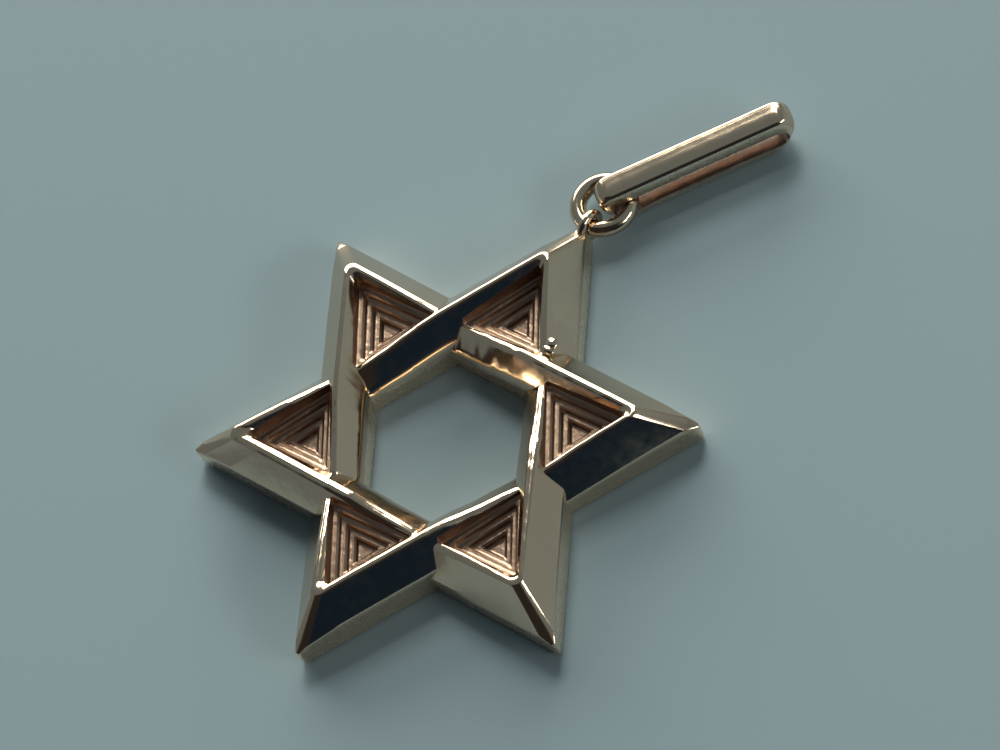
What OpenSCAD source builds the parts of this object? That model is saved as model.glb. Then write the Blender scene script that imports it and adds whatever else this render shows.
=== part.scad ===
// Six-pointed star pendant, lying on its flat back: two cast triangles woven over and under
// each other round an open hexagon, a closed jump ring and a long bail for a chain.
// Millimetres, +Z up out of the front, +Y towards the hanging point.

/* [Star] */
// Distance from the middle of the star to each sharp tip
star_r = 10.2; // [9.6:0.2:12]
// Width of a bar, from the outline to the open hexagon
bar_w = 2.02; // [1.9:0.02:2.14]
// Distance from the outline to a bar's ridge
ridge_y = 1.06; // [1:0.02:1.12]
// Height of a bar's ridge where it passes over its neighbour
ridge_over = 2.6; // [2.4:0.05:2.9]
// Height of a bar's ridge where it dips under its neighbour
ridge_under = 2; // [1.85:0.05:2.2]
// Height of the plain side wall along the high stretch of a bar
wall_over = 1.4; // [1.25:0.05:1.55]
// Height of the plain side wall along the low stretch of a bar
wall_under = 1; // [0.85:0.05:1.15]
// Length cut off each sharp tip
tip_blunt = 0.16; // [0.12:0.01:0.2]

/* [Sunk triangles] */
// Height of the flat land round each sunk triangle
land_h = 1.95; // [1.8:0.05:2.05]
// Distance from the ridge lines to the rim of the sunk triangle
recess_inset = 0.28; // [0.24:0.02:0.4]
// Turn of the sunk triangle against the star's point
recess_turn = 3; // [0:0.5:5]
// Number of steps down to the middle
recess_steps = 4; // [3:1:5]
// Drop of each step
step_drop = 0.25; // [0.15:0.05:0.25]

/* [Eye] */
// Height of the middle of the cast eye above the back
eye_z = 0.85; // [0.82:0.01:0.88]
// Mean radius of the cast eye
eye_r = 0.56; // [0.55:0.01:0.58]
// Thickness of the cast eye's metal
eye_wire = 0.36; // [0.32:0.01:0.37]

/* [Jump ring] */
// Mean radius of the jump ring
ring_r = 1.06; // [1.05:0.01:1.08]
// Wire thickness of the jump ring
ring_wire = 0.6; // [0.5:0.02:0.62]
// Distance from the sharp top tip to the middle of the jump ring
ring_off = 1.1; // [1.08:0.01:1.12]
// Height of the jump ring's wire above the back
ring_z = 0.85; // [0.83:0.01:0.87]

/* [Bail] */
// Length of the bail from end to end
bail_l = 8.25; // [7:0.25:9]
// Width of the bail's strip
bail_w = 1.14; // [1:0.02:1.16]
// Depth of the bail from its back to its domed front
bail_h = 2; // [1.9:0.05:2.1]
// Radius of the corners between the front strip and the ends
bail_front_r = 0.6; // [0.5:0.05:0.7]
// Thickness of the back strip and of the two ends
bail_wall = 0.45; // [0.4:0.01:0.46]
// Height of the long gap that the chain runs through
bail_gap = 0.8; // [0.76:0.02:0.9]
// Radius of the dome across the front strip
bail_dome_r = 1.46; // [1.2:0.02:2]
// Angle that the bail lies turned away from the star's upright
bail_turn = 36.6; // [20:0.2:45]
// Distance from the middle of the jump ring to the bail's near end
bail_reach = 0.18; // [0.12:0.01:0.2]

/* [Hidden] */
gold = "#c98f74";
$fn = 96;
overshoot = 1;
points_n = 6;
bars_per_ring = 3;

// Lines of one bar, in its own frame: X from its first tip to its last, Y from the outline inwards
bar_l = sqrt(3) * star_r;
mitre = sqrt(3);
hex_in = star_r / 2 - bar_w;
ridge_in = star_r / 2 - ridge_y;
cross_over = bar_l / 2 - star_r / 2 / mitre;
cross_under = bar_l / 2 + star_r / 2 / mitre;
low_start = bar_l / 2 + hex_in / mitre - 0.15;
tip_wall = wall_under + 0.1;
shoulder_x = 1.4;
shoulder_ridge_x = mitre * ridge_y + 0.5;
shoulder_inner_x = mitre * bar_w + 0.2;
high_end = cross_over + 1.25;
dip_x = cross_under - 0.2;
dip_drop = 0.25;
rise_x = cross_under + 0.25;
rise_lift = 0.15;

// One section of a bar: where it stands on the outline, the ridge and the inner edge, and how high
S_OUT_X = 0;
S_RIDGE_X = 1;
S_IN_X = 2;
S_OUT_Z = 3;
S_RIDGE_Z = 4;
S_IN_Z = 5;
stations = [
    [0, mitre * ridge_y, mitre * bar_w, tip_wall, ridge_over, wall_over],
    [shoulder_x, shoulder_ridge_x, shoulder_inner_x, wall_over, ridge_over, wall_over],
    [high_end, high_end, high_end, wall_over, ridge_over, wall_over],
    [low_start, low_start, low_start, wall_under, ridge_under, wall_under],
    [dip_x, dip_x, dip_x, wall_under, ridge_under - dip_drop, wall_under],
    [rise_x, rise_x, rise_x, wall_under, ridge_under + rise_lift, wall_under]
];

// Middle of a sunk triangle and the radius of the circle inside its rim
point_in = ridge_in / 3;
recess_mid = ridge_in + point_in;
recess_in = point_in - recess_inset;
terrace_w = recess_in / recess_steps;

ring_gap = 0.08;
ring_y = star_r + ring_off;

// The row's origin lies under the middle of the whole pendant
tip_cut_r = star_r - tip_blunt;
bail_end = bail_l - bail_reach;
reach_y = ring_y + bail_end * cos(bail_turn) + bail_w / 2 * sin(bail_turn);
mid_y = (reach_y - tip_cut_r) / 2;

// Corner of a bar's section: x along the bar, y inwards from the outline; bar 0 starts at the +X tip
function along(a) = [cos(a), sin(a)];
function plan(bar, x, y) =
    let (tip = 120 * bar, run = tip + 150)
    star_r * along(tip) + x * along(run) + y * along(run + 90);
function corner(bar, x, y, z) = let (p = plan(bar, x, y)) [p[0], p[1], z];
function section(bar, s) = [
    corner(bar, s[S_OUT_X], 0, 0),
    corner(bar, s[S_OUT_X], 0, s[S_OUT_Z]),
    corner(bar, s[S_RIDGE_X], ridge_y, s[S_RIDGE_Z]),
    corner(bar, s[S_IN_X], bar_w, s[S_IN_Z]),
    corner(bar, s[S_IN_X], bar_w, 0)
];

// One closed triangle of three bars with mitred corners
module woven_triangle() {
    rows = [for (bar = [0:bars_per_ring - 1]) for (s = stations) section(bar, s)];
    count = len(rows);
    sides = len(rows[0]);
    skin = [
        for (i = [0:count - 1]) for (j = [0:sides - 1])
            let (
                a = i * sides + j,
                b = i * sides + (j + 1) % sides,
                c = (i + 1) % count * sides + (j + 1) % sides,
                d = (i + 1) % count * sides + j
            )
            each [[a, b, c], [a, c, d]]
    ];
    polyhedron(points = [for (row = rows) each row], faces = skin, convexity = 8);
}

// Solid filling between the bars of one point, up to the land round its sunk triangle
module point_fill() {
    apex = star_r - 2 * ridge_y;
    half = (apex - ridge_in) / mitre;
    linear_extrude(land_h) polygon([[apex, 0], [ridge_in, half], [ridge_in, -half]]);
}

// Stepped pit of one point, widest at its rim
module stepped_recess() {
    translate([recess_mid, 0, 0]) rotate(recess_turn)
        for (step = [0:recess_steps - 1])
            translate([0, 0, land_h - (step + 1) * step_drop])
                linear_extrude(ridge_over + overshoot)
                    circle(r = 2 * (recess_in - step * terrace_w), $fn = 3);
}

module wire_circle(mean_r, wire) {
    rotate_extrude() translate([mean_r, 0]) circle(d = wire, $fn = 32);
}

// Cast eye standing on edge at the top tip
module eye() {
    translate([0, ring_y - ring_r, eye_z]) rotate([0, 90, 0]) wire_circle(eye_r, eye_wire);
}

module in_points() {
    for (k = [0:points_n - 1]) rotate(90 + 60 * k) children();
}

module star() {
    color(gold) translate([0, -mid_y, 0]) difference() {
        union() {
            intersection() {
                union() {
                    rotate(90) woven_triangle();
                    rotate(30) woven_triangle();
                    in_points() point_fill();
                }
                translate([0, 0, -overshoot]) cylinder(r = tip_cut_r, h = ridge_over + 2 * overshoot);
            }
            eye();
        }
        in_points() stepped_recess();
        translate([0, ring_y, ring_z]) wire_circle(ring_r, ring_wire + 2 * ring_gap);
    }
}

module jump_ring() {
    color(gold) translate([0, ring_y - mid_y, ring_z]) wire_circle(ring_r, ring_wire);
}

// Long shape with rounded corners, wider ones at its back, from its left end at x = 0
module long_shape(length, height, front_r) {
    back_r = height - front_r;
    intersection() {
        for (x = [back_r, length - back_r]) translate([x, back_r]) circle(back_r);
        square([length, back_r]);
    }
    translate([back_r, 0]) square([length - 2 * back_r, back_r]);
    for (x = [front_r, length - front_r]) translate([x, back_r]) circle(front_r);
    translate([front_r, back_r]) square([length - 2 * front_r, front_r]);
}

// Closed loop of strip on its side: X along it, Z from its back strip to its domed front
module bail_loop() {
    intersection() {
        rotate([90, 0, 0]) linear_extrude(bail_w, center = true) difference() {
            long_shape(bail_l, bail_h, bail_front_r);
            translate([bail_wall, bail_wall])
                long_shape(bail_l - 2 * bail_wall, bail_gap, bail_gap / 2);
        }
        translate([-overshoot, 0, bail_h - bail_dome_r]) rotate([0, 90, 0])
            cylinder(r = bail_dome_r, h = bail_l + 2 * overshoot);
    }
}

module bail() {
    color(gold) translate([0, ring_y - mid_y, 0]) rotate(90 - bail_turn)
        translate([-bail_reach, 0, 0]) bail_loop();
}

star();
jump_ring();
bail();
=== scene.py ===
# %% [markdown]
# Woven star pendant.
# The imported model holds three gold pieces: a cast star, a jump ring and a long bail.
# This lesson gives each of them its rounded edges and its finish, then adds floor, sky and light.
# Loading the frame comes first, because the star's place is read from it.

# %% Load the frame
import bmesh
import bpy
import numpy as np
from mathutils import Matrix, Vector


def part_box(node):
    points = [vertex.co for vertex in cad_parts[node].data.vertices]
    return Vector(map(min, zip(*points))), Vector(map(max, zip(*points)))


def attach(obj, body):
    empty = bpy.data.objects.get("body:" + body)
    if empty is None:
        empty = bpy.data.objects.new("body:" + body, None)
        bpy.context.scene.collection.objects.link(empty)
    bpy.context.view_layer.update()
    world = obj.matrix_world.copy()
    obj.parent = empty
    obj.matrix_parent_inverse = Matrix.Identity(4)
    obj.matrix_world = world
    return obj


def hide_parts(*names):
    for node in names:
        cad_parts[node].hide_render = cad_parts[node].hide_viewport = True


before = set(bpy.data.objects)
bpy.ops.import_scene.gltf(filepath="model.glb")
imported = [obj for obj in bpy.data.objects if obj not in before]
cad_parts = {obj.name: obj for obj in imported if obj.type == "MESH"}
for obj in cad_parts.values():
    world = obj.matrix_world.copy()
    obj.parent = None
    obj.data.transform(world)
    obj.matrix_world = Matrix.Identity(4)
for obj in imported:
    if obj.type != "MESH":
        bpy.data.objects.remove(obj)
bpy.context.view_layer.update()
print("frame nodes:", sorted(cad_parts))

# %% [markdown]
# A jeweller thinks in millimetres, so the sizes below are millimetres and one factor turns them
# into Blender's metres. The star's middle is not the origin: the origin lies under the middle of
# the whole pendant, so the star's lower tip in the frame tells how far the star is shifted.

# %% Driving sizes
MM = 0.001
STAR_R = 10.2
BAR_W = 2.02
RIDGE_Y = 1.06
TIP_BLUNT = 0.16
TIPS = 3
POINTS = 6
ROOT3 = np.sqrt(3.0)
BAR_L = ROOT3 * STAR_R

star_low = np.array(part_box("star")[0]) / MM
STAR_Y = star_low[1] + STAR_R - TIP_BLUNT
print(f"star's middle lies at y = {STAR_Y:.3f} mm")

# %% [markdown]
# Every new surface here is a grid of points, worked out as one array. A small helper turns such a
# grid into a mesh. Closing the grid in one or both directions makes a tube or a ring of it, so no
# doubled seam is left to merge.

# %% Grid to mesh
def grid_faces(rows, cols, close_rows, close_cols):
    """Quads between neighbouring points of a rows x cols grid, wrapped where it is closed."""
    r = np.arange(rows if close_rows else rows - 1)
    c = np.arange(cols if close_cols else cols - 1)
    r, c = np.meshgrid(r, c, indexing="ij")
    r2, c2 = (r + 1) % rows, (c + 1) % cols
    corners = [r * cols + c, r2 * cols + c, r2 * cols + c2, r * cols + c2]
    return np.stack(corners, axis=-1).reshape(-1, 4)


def mesh_object(name, points, faces):
    """Object whose mesh has these points, in millimetres, and these faces of point numbers."""
    mesh = bpy.data.meshes.new(name)
    faces = np.asarray(faces)
    mesh.from_pydata((np.asarray(points).reshape(-1, 3) * MM).tolist(), [], faces.tolist())
    mesh.update()
    piece = bpy.data.objects.new(name, mesh)
    bpy.context.scene.collection.objects.link(piece)
    return piece


def grid_object(name, grid, close_rows=False, close_cols=False):
    """Object of a grid of points with shape (rows, cols, 3)."""
    rows, cols = grid.shape[:2]
    return mesh_object(name, grid, grid_faces(rows, cols, close_rows, close_cols))


print("a closed grid of 3 x 4 points has", len(grid_faces(3, 4, True, True)), "faces")

# %% [markdown]
# The camera stands where the photographer stood, worked out from the star's own points: about
# 170 mm away, leaning 31 degrees from straight above, with a long lens. Its three axes are the
# picture's right, the picture's up and the line back to the camera.

# %% Camera
CAMERA_AT = (79.45, -36.43 + STAR_Y, 149.95)
PICTURE_RIGHT = (0.7917, 0.5459, -0.2743)
PICTURE_UP = (-0.4066, 0.8059, 0.4303)
LENS_MM = 162.45
SENSOR_MM = 36.0
NEAREST_SEEN = 10.0

right = Vector(PICTURE_RIGHT).normalized()
back = right.cross(Vector(PICTURE_UP)).normalized()
up = back.cross(right)
camera_data = bpy.data.cameras.new("camera")
camera_data.lens = LENS_MM
camera_data.sensor_width = SENSOR_MM
camera_data.clip_start = NEAREST_SEEN * MM
camera = bpy.data.objects.new("camera", camera_data)
turn = Matrix((right, up, back)).transposed().to_4x4()
camera.matrix_world = Matrix.Translation(Vector(CAMERA_AT) * MM) @ turn
bpy.context.scene.collection.objects.link(camera)
bpy.context.scene.camera = camera
print(f"camera at {tuple(round(v, 1) for v in CAMERA_AT)} mm")

# %% [markdown]
# The star is two cast triangles, woven. One triangle is a roofed bar carried round a closed path
# with three corners. Along each bar the roof stands high where it passes over its neighbour and
# dips where it passes under. The table gives the heights of side wall and ridge at shares of the
# bar's length, and a place between two rows is read on the straight line between them.

# %% Heights along a bar
SHARE, WALL_Z, RIDGE_Z = 0, 1, 2
BAR_HEIGHTS = np.array([
    [0.000, 1.20, 2.75],
    [0.080, 1.38, 2.74],
    [0.170, 1.40, 2.72],
    [0.330, 1.40, 2.69],
    [0.400, 1.34, 2.61],
    [0.450, 1.27, 2.43],
    [0.520, 1.12, 2.23],
    [0.580, 1.02, 2.11],
    [0.625, 0.98, 1.98],
    [0.655, 0.96, 1.81],
    [0.678, 0.96, 2.19],
    [0.730, 1.00, 2.31],
    [0.850, 1.10, 2.57],
    [0.930, 1.17, 2.69],
    [1.000, 1.20, 2.75],
])


def read_heights(x, column):
    """Height at distance x along a bar, read straight between the rows of the table."""
    return np.interp(x / BAR_L, BAR_HEIGHTS[:, SHARE], BAR_HEIGHTS[:, column])


print(f"ridge between {BAR_HEIGHTS[:, RIDGE_Z].min()} and {BAR_HEIGHTS[:, RIDGE_Z].max()} mm high")

# %% [markdown]
# A cast and polished edge is never sharp. Each corner of the bar's section gets a short curve: a
# quadratic Bezier from one side of the corner to the other, with the corner as its handle.

# %% Rounded corners
CORNER_STEPS = 9


def rounded_section(corners, reach, steps):
    """Closed loop along a polygon whose corners are rounded.
    corners has shape (..., k, 2), and reach says how far from each corner its curve starts.
    Each curve is (1-t)^2 a + 2 t (1-t) c + t^2 b between a and b, the points at that reach."""
    before = np.roll(corners, 1, axis=-2) - corners
    after = np.roll(corners, -1, axis=-2) - corners
    before = before / np.linalg.norm(before, axis=-1, keepdims=True)
    after = after / np.linalg.norm(after, axis=-1, keepdims=True)
    reach = np.asarray(reach)[..., None]
    a = (corners + before * reach)[..., None, :]
    b = (corners + after * reach)[..., None, :]
    t = np.linspace(0, 1, steps)[:, None]
    curve = (1 - t) ** 2 * a + 2 * t * (1 - t) * corners[..., None, :] + t ** 2 * b
    return curve.reshape(*corners.shape[:-2], -1, 2)


print("points on the curve of one corner:", CORNER_STEPS)

# %% [markdown]
# Polishing wears a bar's ridge down to a narrow, low roof between its two slopes, and the hand
# that holds it to the wheel leaves the ridge slightly uneven. Both together draw the lively bright
# line along a real bar. So the section has three corners where a plain roof has one, and a sum of
# sine waves, a few thousandths of a millimetre high, runs along the ridge.

# %% Section with a worn ridge
CREST_SLOPE = 0.36
INNER_LEAST = 1.2
FOOT_REACH, WALL_REACH, INNER_REACH = 0.16, 0.12, 0.42
SHOULDER_SHARE, TOP_SHARE = 0.41, 0.53
WAVE_LIFT = 0.003
WAVE_COUNT = 7
WAVE_SHORT, WAVE_LONG = 0.6, 3.0


def hand_wave(x, seed):
    """Unevenness at distance x: a sum of sine waves along the bar, which fades out at its tips."""
    draw = np.random.default_rng(seed)
    rate = 2 * np.pi / draw.uniform(WAVE_SHORT, WAVE_LONG, WAVE_COUNT)
    phase = draw.uniform(0, 2 * np.pi, WAVE_COUNT)
    fade = np.sin(np.pi * np.clip(x / BAR_L, 0, 1))
    return WAVE_LIFT * fade * np.sin(x[:, None] * rate + phase).sum(axis=1)


def section_at(x, crest, seed, foot):
    """Rounded section of the bar at distances x: the loop's inset from the outline and height.
    Its underside lies at the height foot. Within crest of the ridge the two slopes give way to a
    low roof, whose top lies CREST_SLOPE times crest above the mean of the places where they stop."""
    wall, ridge = read_heights(x, WALL_Z), read_heights(x, RIDGE_Z) + hand_wave(x, seed)
    inner = np.maximum(wall, INNER_LEAST)
    flat = np.zeros_like(wall)
    outside = ridge - crest * (ridge - wall) / RIDGE_Y
    inside = ridge - crest * (ridge - inner) / (BAR_W - RIDGE_Y)
    top = (outside + inside) / 2 + crest * CREST_SLOPE
    side = flat + BAR_W
    inset = np.stack([flat, flat, RIDGE_Y - crest, flat + RIDGE_Y, RIDGE_Y + crest, side, side], axis=-1)
    height = np.stack([flat + foot, wall, outside, top, inside, inner, flat + foot], axis=-1)
    shoulder, peak = SHOULDER_SHARE * crest, TOP_SHARE * crest
    reach = np.stack([flat + FOOT_REACH, flat + WALL_REACH, shoulder, peak, shoulder,
                      flat + INNER_REACH, flat + FOOT_REACH], axis=-1)
    return rounded_section(np.stack([inset, height], axis=-1), reach, CORNER_STEPS)


print("waves along each ridge:", WAVE_COUNT)

# %% [markdown]
# The path round a triangle has three straight runs and three turned corners. Every line of the
# section runs at its own distance inside the outline, so it turns the corner on its own arc. The
# arc is tight at the tip and at the ridge, and wide in between, where the wheel rounds the hip.
# Points along the path are places on a bar for the straight run and angles for the corner.

# %% Path of a bar
TIP_ROUND = 0.13
CREST_ROUND = 0.25
HIP_SWELL = 1.35


def turn_radius(inset):
    """Radius in plan of a corner's arc at an inset. With s the inset's share of the ridge's, it is
    tip + a sqrt(s) + (crest - tip - a) s: small at the tip, swelling along the hip, small again."""
    s = np.minimum(inset / RIDGE_Y, 1)
    return TIP_ROUND + HIP_SWELL * np.sqrt(s) + (CREST_ROUND - TIP_ROUND - HIP_SWELL) * s


def bar_path(inset, along):
    """Point on one bar at an inset from the outline.
    along runs 0 to 1 on the straight run between the corner arcs, and 1 to 2 on the arc that
    turns the next corner."""
    arc = turn_radius(inset)
    start = ROOT3 * (inset + arc)
    run = np.clip(along, 0, 1)
    x = start + run * (BAR_L - 2 * start)
    turn = np.clip(along - 1, 0, 1) * 2 * np.pi / 3
    x = x + arc * np.sin(turn)
    y = inset + arc * (1 - np.cos(turn))
    return x, y


print(f"half way up the hip the corner turns on a radius of {turn_radius(RIDGE_Y / 2):.2f} mm")

# %% [markdown]
# No two bars are polished alike, so each has its own half width of the worn ridge: behind its
# first tip, near its middle and before its last tip. The second triangle's foot lies a hair above
# the first one's. Where pieces that are joined later have faces in exactly one plane, the joint
# may tear the skin open, and a hair of two thousandths of a millimetre keeps them apart.

# %% Woven triangles
RUN_STEPS = 150
TURN_STEPS = 20
HAIR = 0.002
CREST_AT = np.array([0.0, 0.45, 1.0])
CREST_WIDTH = {90: [[0.12, 0.13, 0.16], [0.21, 0.21, 0.12], [0.08, 0.21, 0.09]],
               30: [[0.14, 0.16, 0.15], [0.10, 0.10, 0.18], [0.15, 0.16, 0.10]]}


def woven_triangle(first_tip, foot):
    """Grid of one triangle: the section carried along three bars and round their corners.
    Each bar leaves its tip at 150 degrees to the tip's own direction. The width of its worn ridge
    runs over into the next bar's round the corner."""
    straight = np.linspace(0, 1, RUN_STEPS)
    bend = np.linspace(0, 1, TURN_STEPS + 1)[1:-1]
    along = np.concatenate([straight, 1 + bend])[:, None]
    run_x = np.clip(along[:, 0], 0, 1) * BAR_L
    worn = CREST_WIDTH[first_tip]
    bars = []
    for bar in range(TIPS):
        here, after = worn[bar], worn[(bar + 1) % TIPS][0]
        crest = np.concatenate([np.interp(straight, CREST_AT, here),
                                here[-1] + bend * (after - here[-1])])
        loop = section_at(run_x, crest, first_tip + bar, foot)
        x, y = bar_path(loop[..., 0], along)
        tip = np.radians(first_tip + 120 * bar)
        run = tip + np.radians(150)
        side = run + np.pi / 2
        px = STAR_R * np.cos(tip) + x * np.cos(run) + y * np.cos(side)
        py = STAR_R * np.sin(tip) + x * np.sin(run) + y * np.sin(side)
        bars.append(np.stack([px, py + STAR_Y, loop[..., 1]], axis=-1))
    return np.concatenate(bars)


triangle_a = grid_object("triangle_a", woven_triangle(90, 0.0), True, True)
triangle_b = grid_object("triangle_b", woven_triangle(30, HAIR), True, True)
print("one triangle:", len(triangle_a.data.polygons), "faces")

# %% [markdown]
# The six points between the bars are filled: the real star is one casting, so a plain plug of
# metal closes each point up to the land round its sunk triangle. Its edges end inside the bars,
# where nobody sees them, and its foot lies another hair higher.

# %% Plugs in the points
RIDGE_IN = STAR_R / 2 - RIDGE_Y
LAND_Z = 1.95
PLUG_SHORT = 0.1


def turned(points, angles):
    """Copies of points (n, 3), each turned about the star's middle by one of the angles."""
    c, s = np.cos(angles)[:, None], np.sin(angles)[:, None]
    x = points[:, 0] * c - points[:, 1] * s
    y = points[:, 0] * s + points[:, 1] * c + STAR_Y
    z = np.broadcast_to(points[:, 2], x.shape)
    return np.stack([x, y, z], axis=-1)


def repeated(faces, count, size):
    """The same faces for each of count copies of a mesh with size points."""
    shift = np.arange(count)[:, None, None] * size
    return (np.asarray(faces)[None] + shift).reshape(-1, np.shape(faces)[1])


POINT_ANGLES = np.radians(90 + 60 * np.arange(POINTS))
apex = STAR_R - 2 * RIDGE_Y - 2 * PLUG_SHORT
base = RIDGE_IN + PLUG_SHORT
half = (apex - base) / ROOT3
plug_plan = np.array([[apex, 0], [base, half], [base, -half]])
plug = np.concatenate([np.c_[plug_plan, np.full(len(plug_plan), z)] for z in (2 * HAIR, LAND_Z)])
plug_faces = [[0, 2, 1], [3, 4, 5], [0, 1, 4], [0, 4, 3], [1, 2, 5], [1, 5, 4], [2, 0, 3], [2, 3, 5]]
plugs = mesh_object("plugs", turned(plug, POINT_ANGLES), repeated(plug_faces, POINTS, len(plug)))
print("plugs:", len(plugs.data.polygons), "faces")

# %% [markdown]
# Each sunk triangle is a little amphitheatre whose steps run down to its middle. It is made as the
# solid that is taken away: a stair profile carried round a triangle. Each nosing and each inner
# corner of the stair is cut off by a small slope, because casting softens them, and the triangle's
# three tips are cut short.

# %% Stair and triangle of a pit
RIM_INSET = 0.25
PIT_IN = RIDGE_IN / 3 - RIM_INSET
PIT_STEPS = 4
STEP_DROP = 0.25
TREAD = PIT_IN / PIT_STEPS
TREAD_FROM = 0.35
TREAD_POINTS = 4
STAIR_SOFT = 0.055
CUT_SHARE = 0.3
OPEN_TOP = 3.4
TIP_LEFT = 0.94
SIDE_POINTS = 48


def stair_profile():
    """Stair from the middle of the floor up to the open top: share of the rim's size and height.
    A tread slopes over its nosing for TREAD_FROM of its width. Then it lies level up to its outer
    edge, where two short cuts lead up into the next riser."""
    inset, height = [0.0], [LAND_Z - PIT_STEPS * STEP_DROP]
    cut = CUT_SHARE * STAIR_SOFT
    for step in range(PIT_STEPS):
        edge = TREAD * (step + 1)
        low = LAND_Z - (PIT_STEPS - step) * STEP_DROP
        high = low + STEP_DROP if step < PIT_STEPS - 1 else OPEN_TOP
        spread = np.linspace(TREAD * (step + TREAD_FROM), edge - STAIR_SOFT, TREAD_POINTS)
        inset += [*spread, edge - cut, edge, edge + cut]
        height += [low] * TREAD_POINTS + [low + cut, low + STAIR_SOFT, high - STAIR_SOFT]
    return np.array(inset + [0.0]) / PIT_IN, np.array(height + [OPEN_TOP])


def triangle_loop(count):
    """Points round a triangle whose inner circle has radius 1, with a little of each tip lost.
    A side's points are its normal plus t times its direction, where t runs to both sides as far
    as TIP_LEFT times the square root of 3, which is half of a whole side."""
    side = np.linspace(-1, 1, count, endpoint=False) * ROOT3 * TIP_LEFT
    loops = []
    for k in range(TIPS):
        normal = np.pi + 2 * np.pi / 3 * k
        loops.append(np.stack([np.cos(normal) - side * np.sin(normal),
                               np.sin(normal) + side * np.cos(normal)], axis=-1))
    return np.concatenate(loops)


print(f"the circle inside a pit's rim has a radius of {PIT_IN:.2f} mm")

# %% [markdown]
# A step kept the grain of the casting, so it isn't flat: a sum of sine waves in random directions
# lifts and lowers it by a thousandth of a millimetre or two. The waves are read after the pit is
# repeated, so no two of the six pits are alike, and the open top above GRAIN_TOP stays level. As
# on the real star, the pits lie a little beside the middle of their points and are turned by three
# degrees.

# %% Stepped pits
PIT_MID = RIDGE_IN + RIDGE_IN / 3
PIT_SHIFT = np.array([-0.04, -0.09])
PIT_TURN = np.radians(3)
GRAIN_WAVES = 24
GRAIN_SLOW, GRAIN_FAST = 9, 42
GRAIN_LIFT = 0.0015
GRAIN_SEED = 7
GRAIN_TOP = 2.45


def cast_grain(points, seed, lift):
    """Height of the grain at each point: a sum of sine waves with random directions, divided so
    that its usual size is lift."""
    draw = np.random.default_rng(seed)
    direction = draw.normal(size=(GRAIN_WAVES, 2))
    rate = draw.uniform(GRAIN_SLOW, GRAIN_FAST, GRAIN_WAVES)
    direction *= (rate / np.linalg.norm(direction, axis=1))[:, None]
    phase = draw.uniform(0, 2 * np.pi, GRAIN_WAVES)
    waves = np.sin(points[..., :2] @ direction.T + phase)
    return waves.sum(axis=-1) * lift * np.sqrt(2 / GRAIN_WAVES)


def pit_grid():
    """Grid of one pit round the +X point: the triangle loop scaled by the stair's shares."""
    share, height = stair_profile()
    loop = triangle_loop(SIDE_POINTS) * PIT_IN
    c, s = np.cos(PIT_TURN), np.sin(PIT_TURN)
    loop = loop @ np.array([[c, s], [-s, c]])
    plan = share[:, None, None] * loop[None]
    z = np.broadcast_to(height[:, None, None], plan.shape[:2] + (1,))
    return np.concatenate([plan, z], axis=-1)


pit = pit_grid()
rows, cols = pit.shape[:2]
pit_copies = turned((pit + [PIT_MID + PIT_SHIFT[0], PIT_SHIFT[1], 0]).reshape(-1, 3), POINT_ANGLES)
grained = pit_copies[..., 2] < GRAIN_TOP
pit_copies[..., 2] += np.where(grained, cast_grain(pit_copies, GRAIN_SEED, GRAIN_LIFT), 0)
pit_faces = grid_faces(rows, cols, False, True)
pits = mesh_object("pits", pit_copies, repeated(pit_faces, POINTS, rows * cols))
print("pits:", len(pits.data.polygons), "faces")

# %% [markdown]
# The cast eye at the top point is a ring standing on edge, and the jump ring lies through it.
# Both are the same surface, a torus: one angle goes round the ring and one round its wire. A
# slightly fatter torus is the room that the jump ring gets in the star. The eye stands a hair
# beside the star's middle, again so that no two faces lie in one plane.

# %% Jump ring and eye
RING_OFF = 1.1
RING_Y = STAR_Y + STAR_R + RING_OFF
RING_R = 1.06
RING_WIRE = 0.66
RING_Z = 0.85
RING_ROOM = 0.10
EYE_R = 0.56
EYE_WIRE = 0.36
EYE_Z = 0.85
COARSE_STEPS = (96, 32)
FINE_STEPS = (192, 48)


def torus(mean_r, wire, around, across):
    """Grid of a torus about Z: (R + r cos v) on the circle at angle u, and r sin v in height."""
    u = np.linspace(0, 2 * np.pi, around, endpoint=False)[:, None]
    v = np.linspace(0, 2 * np.pi, across, endpoint=False)[None]
    reach = mean_r + wire / 2 * np.cos(v)
    z = wire / 2 * np.sin(v) + 0 * u
    return np.stack([reach * np.cos(u), reach * np.sin(u), z], axis=-1)


ring_at = [0, RING_Y, RING_Z]
eye_flat = torus(EYE_R, EYE_WIRE, *COARSE_STEPS)
eye_grid = np.stack([-eye_flat[..., 2], eye_flat[..., 1], eye_flat[..., 0]], axis=-1)
eye = grid_object("eye", eye_grid + [HAIR, RING_Y - RING_R, EYE_Z], True, True)
room_grid = torus(RING_R, RING_WIRE + RING_ROOM, *COARSE_STEPS)
clearance = grid_object("clearance", room_grid + ring_at, True, True)
jump_ring = grid_object("jump_ring_piece", torus(RING_R, RING_WIRE, *FINE_STEPS) + ring_at, True, True)
print("jump ring:", len(jump_ring.data.polygons), "faces")

# %% [markdown]
# Where two bars cross, a little metal ran together and stayed. Beside the crossing at the right of
# the top point it stands as two small beads in the valley between the bars, one behind the other.
# Their centres are measured from the star's middle.

# %% Beads of metal
BEAD_CENTRES = np.array([[2.06, 5.02, 1.98], [2.10, 4.70, 2.10]])
BEAD_RADII = np.array([[0.30, 0.25, 0.15], [0.33, 0.15, 0.10]])
BEAD_ROWS, BEAD_COLUMNS = 17, 32


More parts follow.
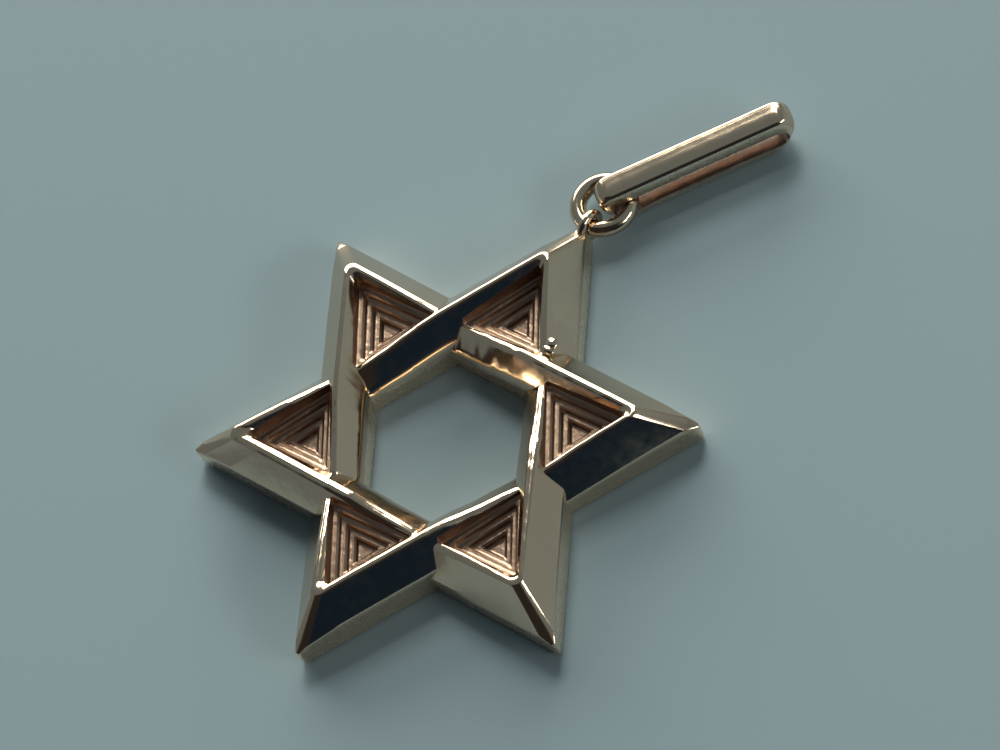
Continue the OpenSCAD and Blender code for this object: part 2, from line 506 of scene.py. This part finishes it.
def bead_grid(centre, radii):
    """Grid of an ellipsoid: its radii times the direction at a latitude and a longitude."""
    latitude = np.linspace(-np.pi / 2, np.pi / 2, BEAD_ROWS)[:, None]
    longitude = np.linspace(0, 2 * np.pi, BEAD_COLUMNS, endpoint=False)[None]
    direction = np.stack([np.cos(latitude) * np.cos(longitude), np.cos(latitude) * np.sin(longitude),
                          np.sin(latitude) + 0 * longitude], axis=-1)
    return centre + [0, STAR_Y, 0] + radii * direction


beads = [grid_object(f"bead_{k}", bead_grid(centre, radii), False, True)
         for k, (centre, radii) in enumerate(zip(BEAD_CENTRES, BEAD_RADII))]
print("beads:", len(beads))

# %% [markdown]
# The casting is put together as a caster would think of it: the two triangles, the plugs, the eye
# and the beads are one metal, and the pits and the room for the jump ring are taken out of it.
# Blender's exact Boolean does this and leaves one closed skin. Its result is read back as a plain
# mesh. Before that, merging doubled points closes the poles of the pits and the beads.

# %% Put the casting together
SAME_POINT = 1e-8


def outward(piece):
    """Merges doubled points and turns all faces of a closed piece outwards."""
    work = bmesh.new()
    work.from_mesh(piece.data)
    bmesh.ops.remove_doubles(work, verts=work.verts, dist=SAME_POINT)
    bmesh.ops.recalc_face_normals(work, faces=work.faces)
    work.to_mesh(piece.data)
    work.free()


def boolean(piece, other, operation):
    """Joins other to piece, or takes it away, and removes other."""
    cut = piece.modifiers.new(operation, "BOOLEAN")
    cut.operation = operation
    cut.object = other
    cut.solver = "EXACT"
    shaped = piece.evaluated_get(bpy.context.evaluated_depsgraph_get())
    mesh = bpy.data.meshes.new_from_object(shaped)
    piece.modifiers.clear()
    old = piece.data
    piece.data = mesh
    bpy.data.meshes.remove(old)
    bpy.data.objects.remove(other)
    print(f"{operation.lower()} of {piece.name}: {len(mesh.polygons)} faces")


for part in (triangle_a, triangle_b, plugs, pits, eye, clearance, jump_ring, *beads):
    outward(part)

boolean(triangle_a, triangle_b, "UNION")
boolean(triangle_a, plugs, "UNION")
boolean(triangle_a, pits, "DIFFERENCE")
for lump in (eye, *beads):
    boolean(triangle_a, lump, "UNION")
boolean(triangle_a, clearance, "DIFFERENCE")
star = triangle_a
star.name = "woven_star"

# %% [markdown]
# The bail is a closed loop of strip on its side. Seen from the side it is one long shape with
# round ends inside another, so each place on the loop has an inner and an outer point. Across the
# strip the outer face is crowned and its edges are rolled over, and the inner face is flat.

# %% Outline and strip of the bail
BAIL_L = 8.25
BAIL_H = 2.0
BAIL_FRONT_R = 0.6
BAIL_HALF = 0.57
BAIL_WALL = 0.45
BAIL_GAP = 0.8
BAIL_CROWN = 0.10
INNER_ROUND = 0.06
RUN_POINTS = 70
END_POINTS = 36
CROWN_POINTS = 15
ROLL_POINTS = 6
INNER_POINTS = 6


def long_loop(length, height, front_r, start):
    """Loop of a long shape with rounded corners: back run, right end, front run, left end.
    An end is a quarter circle of the back radius and one of the front radius, so both have their
    centres at the height of the back radius, and the angle goes evenly through both."""
    back_r = height - front_r
    run = np.linspace(0, 1, RUN_POINTS, endpoint=False)
    angle = np.linspace(-np.pi / 2, np.pi / 2, END_POINTS, endpoint=False)
    up_r, down_r = np.where(angle < 0, back_r, front_r), np.where(angle < 0, front_r, back_r)
    end = start + length
    x = np.concatenate([start + back_r + run * (length - 2 * back_r),
                        end - up_r * (1 - np.cos(angle)),
                        end - front_r - run * (length - 2 * front_r),
                        start + down_r * (1 - np.cos(angle))])
    z = np.concatenate([0 * run, back_r + up_r * np.sin(angle), 0 * run + height,
                        back_r - down_r * np.sin(angle)])
    return np.stack([x, z], axis=-1)


def strip_section(thick, roll):
    """Loop across the strip at each place along it: place across and share of the thickness.
    Outer face a parabola, its edges quarter turns, inner face flat with small cut edges."""
    side = np.linspace(-1, 1, CROWN_POINTS)
    quarter = np.linspace(0, np.pi / 2, ROLL_POINTS + 2)[1:-1]
    flat_half = BAIL_HALF - roll
    crown = BAIL_CROWN * (side * flat_half / BAIL_HALF) ** 2
    outer_y, outer_n = side * flat_half, thick - crown
    edge_n = thick - BAIL_CROWN * (flat_half / BAIL_HALF) ** 2
    right_y = flat_half + roll * np.sin(quarter)
    right_n = edge_n - roll * (1 - np.cos(quarter))
    cut = CUT_SHARE * INNER_ROUND
    inner_half = np.array([BAIL_HALF, BAIL_HALF - cut, BAIL_HALF - INNER_ROUND])
    inner_y = np.concatenate([inner_half, -inner_half[::-1]])
    inner_n = np.array([INNER_ROUND, cut, 0, 0, cut, INNER_ROUND])
    wide = np.ones_like(thick)
    y = np.concatenate([outer_y, right_y, wide * inner_y, -right_y[:, ::-1]], axis=1)
    n = np.concatenate([outer_n, right_n, wide * inner_n, right_n[:, ::-1]], axis=1)
    return y, n / thick


outer = long_loop(BAIL_L, BAIL_H, BAIL_FRONT_R, 0)
inner = long_loop(BAIL_L - 2 * BAIL_WALL, BAIL_GAP, BAIL_GAP / 2, BAIL_WALL) + [0, BAIL_WALL]
thickness = np.linalg.norm(outer - inner, axis=1)[:, None]
print(f"strip between {thickness.min():.2f} and {thickness.max():.2f} mm thick")

# %% [markdown]
# The section is now laid along the loop, and the loop is laid through the jump ring at the angle
# that the pendant shows. The edges are rolled over further round the two ends than along the runs,
# which gives the real bail its rounded nose.

# %% Bail
BAIL_TURN = np.radians(36.6)
BAIL_REACH = 0.18
ROLL = 0.18
ROLL_AT_END = 0.42

end_share = np.zeros(len(outer))
bulge = np.sin(np.linspace(0, np.pi, END_POINTS, endpoint=False))
end_share[RUN_POINTS:RUN_POINTS + END_POINTS] = bulge
end_share[2 * RUN_POINTS + END_POINTS:] = bulge
roll = ROLL + (ROLL_AT_END - ROLL) * end_share[:, None]
across, share = strip_section(thickness, roll)
side_view = inner[:, None] + (outer - inner)[:, None] * share[..., None]
along_bail = side_view[..., 0] - BAIL_REACH
lie = np.array([np.sin(BAIL_TURN), np.cos(BAIL_TURN)])
plan = along_bail[..., None] * lie + across[..., None] * lie[::-1] * [1, -1]
bail_grid = np.concatenate([plan + [0, RING_Y], side_view[..., 1:]], axis=-1)
bail = grid_object("bail_strip", bail_grid, True, True)
outward(bail)
print("bail:", len(bail.data.polygons), "faces")

# %% [markdown]
# A cast edge stays crisp where two planes meet at more than a small angle, and everything that was
# rounded on purpose shades smoothly. Marking edges by their angle does both. The steepest slopes
# of the bars meet the pits' upright walls at about 32 degrees, so the limit lies below that.

# %% Shading
CRISP = np.radians(26)
for piece in (star, jump_ring, bail):
    piece.data.shade_smooth()
    piece.data.set_sharp_from_angle(angle=CRISP)
    print(f"{piece.name}: {len(piece.data.vertices)} points")

# %% [markdown]
# A material is a small tree of nodes. Small helpers keep such trees short: they make an empty
# group, a node with its sockets filled, a mix of two colours and a noise.

# %% Node helpers
MIX_FIRST, MIX_SECOND, MIX_RESULT = 6, 7, 2


def new_group(name, inputs, outputs):
    """Empty shader node group with these float inputs (name: default) and float outputs."""
    tree = bpy.data.node_groups.new(name, "ShaderNodeTree")
    for socket, value in inputs.items():
        made = tree.interface.new_socket(name=socket, in_out="INPUT", socket_type="NodeSocketFloat")
        made.default_value = value
    for socket in outputs:
        tree.interface.new_socket(name=socket, in_out="OUTPUT", socket_type="NodeSocketFloat")
    return tree, tree.nodes.new("NodeGroupInput"), tree.nodes.new("NodeGroupOutput")


def fill(tree, socket, value):
    """Links the socket to value where that is a socket too, and sets it otherwise."""
    if isinstance(value, bpy.types.NodeSocket):
        tree.links.new(value, socket)
    else:
        socket.default_value = value


def add(tree, kind, **values):
    """New node. A value's key is a property of the node, the name of an input with _ for a space,
    or _ and the number of an input."""
    made = tree.nodes.new(kind)
    for key, value in values.items():
        if hasattr(made, key):
            setattr(made, key, value)
        else:
            place = int(key[1:]) if key[1:].isdigit() else key.replace("_", " ")
            fill(tree, made.inputs[place], value)
    return made


def mix_colours(tree, share, first, second):
    """Colour that goes from first to second with share. Each may be a colour or a socket."""
    mix = add(tree, "ShaderNodeMix", data_type="RGBA", _0=share)
    fill(tree, mix.inputs[MIX_FIRST], first)
    fill(tree, mix.inputs[MIX_SECOND], second)
    return mix.outputs[MIX_RESULT]


def noise(tree, vector, scale, detail=3.0, rough=0.5):
    """Noise value of an object-space vector, at a scale per metre."""
    return add(tree, "ShaderNodeTexNoise", Vector=vector, Scale=scale, Detail=detail,
               Roughness=rough).outputs[0]


print("the colours of a mix are its inputs", MIX_FIRST, "and", MIX_SECOND)

# %% [markdown]
# Rose gold is a metal, so its colour is the colour of its reflections. Two effects are shared by
# all the gold. One lets the colour and the roughness drift a little from place to place, as skin
# oil and handling do. The other gives the soft unevenness that hand polishing leaves.

# %% Shared effects
def drift_group():
    """Tone and wear between 0 and 1: two noises of the object's own coordinates."""
    tree, given, result = new_group("handling_drift", {"Patch Scale": 220.0, "Fine Scale": 2600.0},
                                    ["Tone", "Wear"])
    place = add(tree, "ShaderNodeTexCoord").outputs["Object"]
    patch = noise(tree, place, given.outputs["Patch Scale"])
    fine = noise(tree, place, given.outputs["Fine Scale"], detail=5.0, rough=0.65)
    wear = add(tree, "ShaderNodeMath", operation="MULTIPLY", _0=patch, _1=fine).outputs[0]
    tree.links.new(patch, result.inputs["Tone"])
    tree.links.new(wear, result.inputs["Wear"])
    return tree


def polish_group():
    """Height of hand polish: broad waves plus a share of fine drag lines."""
    tree, given, result = new_group("hand_polish", {"Wave Scale": 900.0, "Fine Scale": 9000.0,
                                                    "Fine Share": 0.1}, ["Height"])
    place = add(tree, "ShaderNodeTexCoord").outputs["Object"]
    broad = noise(tree, place, given.outputs["Wave Scale"], detail=2.0)
    fine = noise(tree, place, given.outputs["Fine Scale"], detail=4.0, rough=0.6)
    part = add(tree, "ShaderNodeMath", operation="MULTIPLY", _0=fine,
               _1=given.outputs["Fine Share"]).outputs[0]
    total = add(tree, "ShaderNodeMath", operation="ADD", _0=broad, _1=part).outputs[0]
    tree.links.new(total, result.inputs["Height"])
    return tree


DRIFT = drift_group()
POLISH = polish_group()
print("shared effects:", DRIFT.name, POLISH.name)

# %% [markdown]
# Each gold finish places both effects with its own values. The polished casting, the drawn wire
# and the strip differ a little in how even they are. Upright walls, which the wheel only brushes,
# are satin, and their paler colour is painted light. The inside of the bail is darker with painted
# shade. The floors of the pits are as cast: redder, rougher and grainy, because no wheel reaches
# them. A noise seldom leaves the middle of its range, so the two spans below stretch that middle
# over the whole of each drift.

# %% Gold finishes
TONE_LOW, TONE_HIGH = 0.35, 0.65
WEAR_LOW, WEAR_HIGH = 0.15, 0.40


def gold(name, pale, deep, smooth, worn, waves, lift, fine_share):
    """Metal whose colour runs from pale to deep and its roughness from smooth to worn. The polish
    has waves to the metre and stands lift metres high, with fine_share of it drag lines."""
    material = bpy.data.materials.new(name)
    material.use_nodes = True
    tree = material.node_tree
    shader = tree.nodes["Principled BSDF"]
    shader.inputs["Metallic"].default_value = 1.0
    drift = add(tree, "ShaderNodeGroup", node_tree=DRIFT)
    polish = add(tree, "ShaderNodeGroup", node_tree=POLISH, Wave_Scale=waves, Fine_Share=fine_share)
    ramp = add(tree, "ShaderNodeMapRange", Value=drift.outputs["Tone"], From_Min=TONE_LOW,
               From_Max=TONE_HIGH)
    colour = mix_colours(tree, ramp.outputs[0], (*pale, 1), (*deep, 1))
    rough = add(tree, "ShaderNodeMapRange", Value=drift.outputs["Wear"], From_Min=WEAR_LOW,
                From_Max=WEAR_HIGH, To_Min=smooth, To_Max=worn)
    bump = add(tree, "ShaderNodeBump", Strength=1.0, Distance=lift, Height=polish.outputs["Height"])
    tree.links.new(colour, shader.inputs["Base Color"])
    tree.links.new(rough.outputs[0], shader.inputs["Roughness"])
    tree.links.new(bump.outputs[0], shader.inputs["Normal"])
    return material


ROSE = (0.68, 0.55, 0.41)
ROSE_DEEP = (0.63, 0.50, 0.37)
PIT_PALE = (0.40, 0.28, 0.21)
PIT_DEEP = (0.31, 0.215, 0.16)
# The paler gold of the upright walls and the bail's edges is painted light.
WALL_PAINTED_LIGHT_PALE = (0.92, 0.76, 0.57)
WALL_PAINTED_LIGHT_DEEP = (0.86, 0.70, 0.52)
# The darker gold inside the bail is painted shade.
INSIDE_PAINTED_SHADE_PALE = (0.44, 0.34, 0.28)
INSIDE_PAINTED_SHADE_DEEP = (0.37, 0.28, 0.23)
cast_gold = gold("polished_casting", ROSE, ROSE_DEEP, smooth=0.09, worn=0.17,
                 waves=900.0, lift=0.000010, fine_share=0.02)
# Satin walls: rougher, and paler with painted light.
satin_painted_light_gold = gold("satin_wall_painted_light", WALL_PAINTED_LIGHT_PALE, WALL_PAINTED_LIGHT_DEEP, smooth=0.24, worn=0.34,
                 waves=900.0, lift=0.000003, fine_share=0.02)
wire_gold = gold("polished_wire", ROSE, ROSE_DEEP, smooth=0.08, worn=0.16,
                 waves=1400.0, lift=0.000010, fine_share=0.02)
strip_gold = gold("polished_strip", ROSE, ROSE_DEEP, smooth=0.10, worn=0.17,
                  waves=800.0, lift=0.000005, fine_share=0.03)
# The inside of the bail is darker with painted shade.
painted_shade_inside_gold = gold("strip_inside_painted_shade", INSIDE_PAINTED_SHADE_PALE, INSIDE_PAINTED_SHADE_DEEP, smooth=0.2, worn=0.3,
                   waves=2000.0, lift=0.000010, fine_share=0.3)
pit_gold = gold("as_cast_floor", PIT_PALE, PIT_DEEP, smooth=0.31, worn=0.42,
                waves=4200.0, lift=0.000012, fine_share=0.5)
for finish in (cast_gold, satin_painted_light_gold, wire_gold, strip_gold, painted_shade_inside_gold, pit_gold):
    print("gold finish:", finish.name)

# %% [markdown]
# The bail is a grid, so the finish of a face follows from its column. After the crown and the
# first rolled edge comes an upright edge, which is satin and paler with painted light, then the
# flat inside, darker with painted shade, then the other edge. The wire of the jump ring is polished
# all over.

# %% Finish of the ring and the bail
FIRST_INNER = CROWN_POINTS + ROLL_POINTS
LAST_INNER = FIRST_INNER + INNER_POINTS - 1

jump_ring.data.materials.append(wire_gold)
for material in (strip_gold, painted_shade_inside_gold, satin_painted_light_gold):
    bail.data.materials.append(material)
column = np.arange(len(bail.data.polygons)) % across.shape[1]
# The flat inside of the bail gets the darker gold of painted shade.
inside_painted_shade = (column >= FIRST_INNER) & (column < LAST_INNER)
# The upright edges of the bail get the satin gold, paler with painted light.
edge_painted_light = (column == FIRST_INNER - 1) | (column == LAST_INNER)
bail.data.polygons.foreach_set("material_index", (inside_painted_shade + 2 * edge_painted_light).astype(np.int32))
print("faces inside the bail:", int(inside_painted_shade.sum()), "of", len(column))

# %% [markdown]
# After the Boolean the star is one skin, so its faces are told apart by where they lie. A face of
# a pit lies inside one of the sunk triangles in plan, and either below the rim or upright. Every
# other upright face low down is a side wall. Turning a face's centre back to the +X point lets one
# test serve all six pits. A cut tip of the triangle ends at half the inner radius plus one and a
# half times TIP_LEFT of it. A face is upright where its normal rises or sinks less than UPRIGHT.

# %% Finish of the star
UPRIGHT = 0.15
WALL_TOP = 1.35
PIT_LOW = 0.3
RIM_MARGIN = 0.018


def face_values(piece, name):
    """Centre or normal of each face of a piece, as an array with three columns."""
    values = np.zeros(len(piece.data.polygons) * 3)
    piece.data.polygons.foreach_get(name, values)
    return values.reshape(-1, 3)


for material in (cast_gold, pit_gold, satin_painted_light_gold):
    star.data.materials.append(material)
centres = face_values(star, "center") / MM - [0, STAR_Y, 0]
level = centres[:, 2]
angle = np.arctan2(centres[:, 1], centres[:, 0])
nearest = POINT_ANGLES[0] + np.round((angle - POINT_ANGLES[0]) / np.radians(60)) * np.radians(60)
radius = np.hypot(centres[:, 0], centres[:, 1])
local = np.stack([radius * np.cos(angle - nearest) - PIT_MID, radius * np.sin(angle - nearest)], axis=-1)
normals = np.pi + PIT_TURN + 2 * np.pi / 3 * np.arange(TIPS)
reach = (local - PIT_SHIFT) @ np.stack([np.cos(normals), np.sin(normals)])
in_sides = reach.max(axis=1) < PIT_IN + RIM_MARGIN
in_tips = -reach.min(axis=1) < PIT_IN * (0.5 + 1.5 * TIP_LEFT)
upright = np.abs(face_values(star, "normal")[:, 2]) < UPRIGHT
in_pit = in_sides & in_tips & (level > PIT_LOW) & (upright | (level < LAND_Z))
# Side walls get the satin gold, paler with painted light.
wall_painted_light = upright & (level < WALL_TOP) & (radius < STAR_R) & ~in_pit
star.data.polygons.foreach_set("material_index", (in_pit + 2 * wall_painted_light).astype(np.int32))
print("faces in the pits:", int(in_pit.sum()), "and on walls:", int(wall_painted_light.sum()), "of", len(in_pit))

# %% [markdown]
# The setting is a plain pale floor. It is a single square, so large that its edge never shows, and
# rough as paper.

# %% Floor
FLOOR_SIZE = 2000.0
FLOOR_COLOUR = (0.184, 0.254, 0.298)
FLOOR_ROUGHNESS = 0.9

floor_corners = np.array([[-1, -1, 0], [1, -1, 0], [1, 1, 0], [-1, 1, 0]]) * FLOOR_SIZE / 2
floor = mesh_object("floor", floor_corners, [[0, 1, 2, 3]])
paper = bpy.data.materials.new("pale_paper")
paper.use_nodes = True
paper_shader = paper.node_tree.nodes["Principled BSDF"]
paper_shader.inputs["Base Color"].default_value = (*FLOOR_COLOUR, 1)
paper_shader.inputs["Roughness"].default_value = FLOOR_ROUGHNESS
floor.data.materials.append(paper)
print("floor:", FLOOR_SIZE, "mm wide")

# %% [markdown]
# A polished plane shows whatever lies in its mirror direction, so the sky is as much a part of the
# finish as the gold. It is plain grey, and paler low down on one side. Towards the lower right,
# where the bevels and hips look, it darkens: widely high up, and nearly black low down. The plain
# standard view transform is chosen because it keeps the polished highlights bright.

# %% Sky
SKY_COLOUR = (0.165, 0.195, 0.205)
PALE_LOW = (0.26, 0.31, 0.315)
DARK_ROOM = (0.030, 0.026, 0.024)
BLACK_LOW = (0.008, 0.018, 0.034)


def heading(azimuth, elevation):
    """Unit vector at an azimuth from +X towards +Y and an elevation above the floor, in degrees."""
    a, e = np.radians([azimuth, elevation])
    return Vector((np.cos(e) * np.cos(a), np.cos(e) * np.sin(a), np.sin(e)))


def sky_patch(tree, under, colour, azimuth, elevation, inside, outside):
    """Round patch of the sky in one colour over what lies under it, fading between two angles."""
    view = add(tree, "ShaderNodeTexCoord").outputs["Generated"]
    near = add(tree, "ShaderNodeVectorMath", operation="DOT_PRODUCT", _0=view,
               _1=heading(azimuth, elevation))
    share = add(tree, "ShaderNodeMapRange", interpolation_type="SMOOTHSTEP",
                Value=near.outputs["Value"], From_Min=np.cos(np.radians(outside)),
                From_Max=np.cos(np.radians(inside)))
    return mix_colours(tree, share.outputs[0], under, (*colour, 1))


bpy.context.scene.view_settings.view_transform = "Standard"
world = bpy.data.worlds.new("soft_sky")
bpy.context.scene.world = world
world.use_nodes = True
sky = world.node_tree
seen = (*SKY_COLOUR, 1)
seen = sky_patch(sky, seen, PALE_LOW, azimuth=55, elevation=5, inside=20, outside=45)
seen = sky_patch(sky, seen, DARK_ROOM, azimuth=-75, elevation=42, inside=36, outside=46)
seen = sky_patch(sky, seen, BLACK_LOW, azimuth=-31, elevation=14, inside=20, outside=27)
sky.links.new(seen, sky.nodes["Background"].inputs["Color"])
print("nodes of the sky:", len(sky.nodes))

# %% [markdown]
# The main light is a broad, low window at the upper left: the worn ridges tilt just enough towards
# it to draw bright lines, and the shadow falls to the lower right. A small lamp above it shows in
# faces that lie nearly level, such as the steps of the pits and the crown of the bail. A long, low
# lamp at the right catches the hips of two points.

# %% Lights
LIGHT_AWAY = 700.0


def soft_light(name, azimuth, elevation, width, height, glow, tint):
    """Rectangular area light LIGHT_AWAY mm from the origin, with its width, height and radiance.
    The power that gives a radiance is radiance times pi times the area."""
    data = bpy.data.lights.new(name, "AREA")
    data.shape = "RECTANGLE"
    data.size = width * MM
    data.size_y = height * MM
    data.energy = glow * np.pi * data.size * data.size_y
    data.color = tint
    lamp = bpy.data.objects.new(name, data)
    lamp.location = heading(azimuth, elevation) * LIGHT_AWAY * MM
    lamp.rotation_euler = lamp.location.to_track_quat("Z", "Y").to_euler()
    bpy.context.scene.collection.objects.link(lamp)
    print(f"{name}: {data.energy:.2f} W")


soft_light("window", 138, 19, width=840, height=390, glow=8.2, tint=(1.0, 0.96, 0.82))
soft_light("key_lamp", 125, 46, width=220, height=220, glow=20.0, tint=(1.0, 0.96, 0.84))
soft_light("side_lamp", 10, 27, width=350, height=110, glow=13.0, tint=(1.0, 0.97, 0.86))

# %% [markdown]
# Last, each new piece is tied to the imported model: it rides on the one body and stands in for
# its plain node, which is hidden.

# %% Hand over
for piece, node, slot in ((star, "star", "cast_gold"), (jump_ring, "jump_ring", "wire_gold"),
                          (bail, "bail", "strip_gold")):
    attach(piece, "root")
    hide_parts(node)
